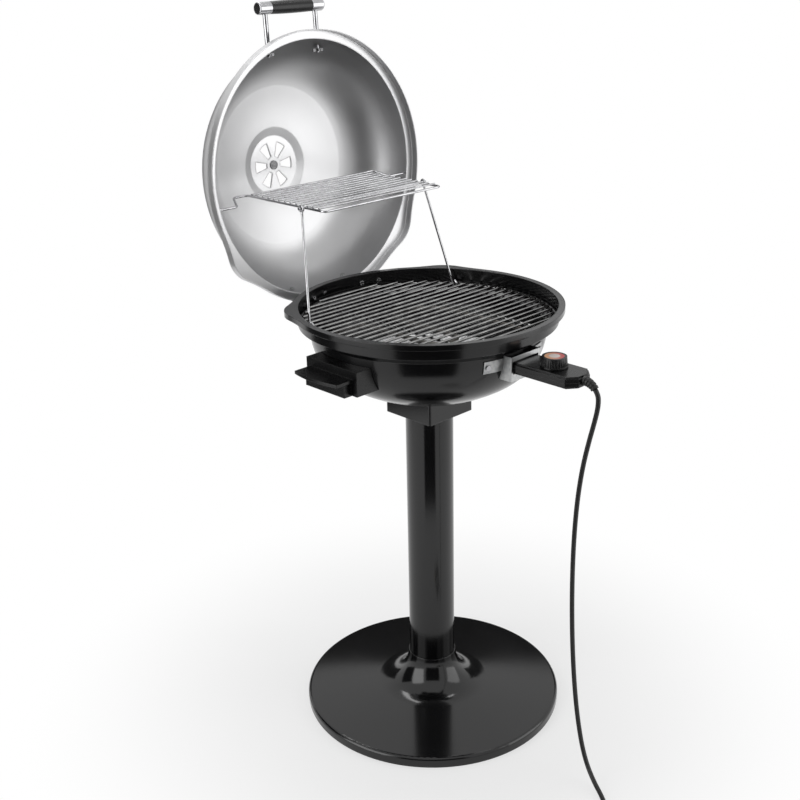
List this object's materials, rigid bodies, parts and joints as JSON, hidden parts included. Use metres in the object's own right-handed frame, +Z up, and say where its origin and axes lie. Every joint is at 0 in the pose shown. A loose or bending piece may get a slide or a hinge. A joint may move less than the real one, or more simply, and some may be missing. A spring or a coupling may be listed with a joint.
{
  "type": "electric barbecue grill",
  "caption": "Round electric kettle grill on a pole and dish base, with a hinged domed lid, warming rack, side handles and a plug-in thermostat with its cord.",
  "frame": {"origin": "centre of the base's underside, on the floor", "axes": "+Z up; +Y towards the hinges at the back, -Y towards the thermostat at the front; +X towards the right-hand side handle as seen from behind the thermostat"},
  "size_m": [0.5, 0.8782, 1.1955],
  "materials": {
    "gloss_black": "gloss",
    "dark_iron": "matte",
    "zinc_steel": "satin",
    "chrome_wire": "polished",
    "spun_aluminium": "satin",
    "element_sheath": "satin",
    "black_moulding": "satin",
    "dial_face": "gloss",
    "cord_rubber": "matte",
    "plug_brass": "satin"
  },
  "bodies": {
    "root": {"base_dish": "gloss_black", "base_weight": "dark_iron", "bolt_nut": "zinc_steel", "bowl": "gloss_black", "bowl_hinge_left": "chrome_wire", "bowl_hinge_right": "chrome_wire", "cooking_grate": "chrome_wire", "cord_coil": "cord_rubber", "cord_drop": "cord_rubber", "cord_tie": "cord_rubber", "cradle_bolts": "zinc_steel", "cradle_nuts": "zinc_steel", "drip_pan": "spun_aluminium", "element_brackets": "zinc_steel", "floor_pad": "dark_iron", "guard_screws": "zinc_steel", "heating_element": "element_sheath", "hinge_pins": "zinc_steel", "hinge_rivets": "zinc_steel", "plug_blades": "plug_brass", "plug_body": "cord_rubber", "pole": "gloss_black", "pole_cradle": "gloss_black", "probe_guard": "chrome_wire", "probe_tube": "zinc_steel", "side_handle_left": "black_moulding", "side_handle_right": "black_moulding", "side_handle_screws": "zinc_steel", "strain_relief": "cord_rubber", "terminal_plate": "zinc_steel", "thermostat_base": "black_moulding", "thermostat_cover": "black_moulding", "through_bolt": "zinc_steel"},
    "lid": {"lid_shell": "spun_aluminium", "vent_rivet": "zinc_steel", "handle_posts": "chrome_wire", "handle_cap_left": "chrome_wire", "handle_cap_right": "chrome_wire", "handle_grip": "black_moulding", "wing_nuts": "zinc_steel", "lid_hinge_left": "chrome_wire", "lid_hinge_right": "chrome_wire", "lid_hinge_screws": "zinc_steel", "lid_hinge_nuts": "zinc_steel"},
    "damper": {"vent_damper": "spun_aluminium"},
    "dial": {"dial_knob": "black_moulding", "dial_insert": "dial_face"},
    "rack": {"warming_rack": "chrome_wire"},
    "legs": {"rack_leg_left": "chrome_wire", "rack_leg_right": "chrome_wire"}
  },
  "joints": [
    {"name": "lid_hinge", "type": "hinge", "parent": "root", "child": "lid", "pos_m": [0, 0.216, 0.708], "axis": [1, 0, 0], "range_deg": [0, 93]},
    {"name": "rack_pivot", "type": "hinge", "parent": "lid", "child": "rack", "pos_m": [0, 0.262, 0.885], "axis": [1, 0, 0], "range_deg": [-93, 0]},
    {"name": "leg_pivot", "type": "hinge", "parent": "rack", "child": "legs", "pos_m": [0, 0.142, 0.89346], "axis": [1, 0, 0], "range_deg": [0, 93]},
    {"name": "vent_turn", "type": "hinge", "parent": "lid", "child": "damper", "pos_m": [0, 0.3791, 0.9158], "axis": [0, 0.9986, -0.0523], "range_deg": [0, 30]},
    {"name": "dial_turn", "type": "hinge", "parent": "root", "child": "dial", "pos_m": [0, -0.26, 0.69], "axis": [0, 0, 1], "range_deg": [0, 270]}
  ],
  "couplings": [
    {"joint": "rack_pivot", "follows": "lid_hinge", "ratio": -1},
    {"joint": "leg_pivot", "follows": "lid_hinge", "ratio": 1}
  ]
}
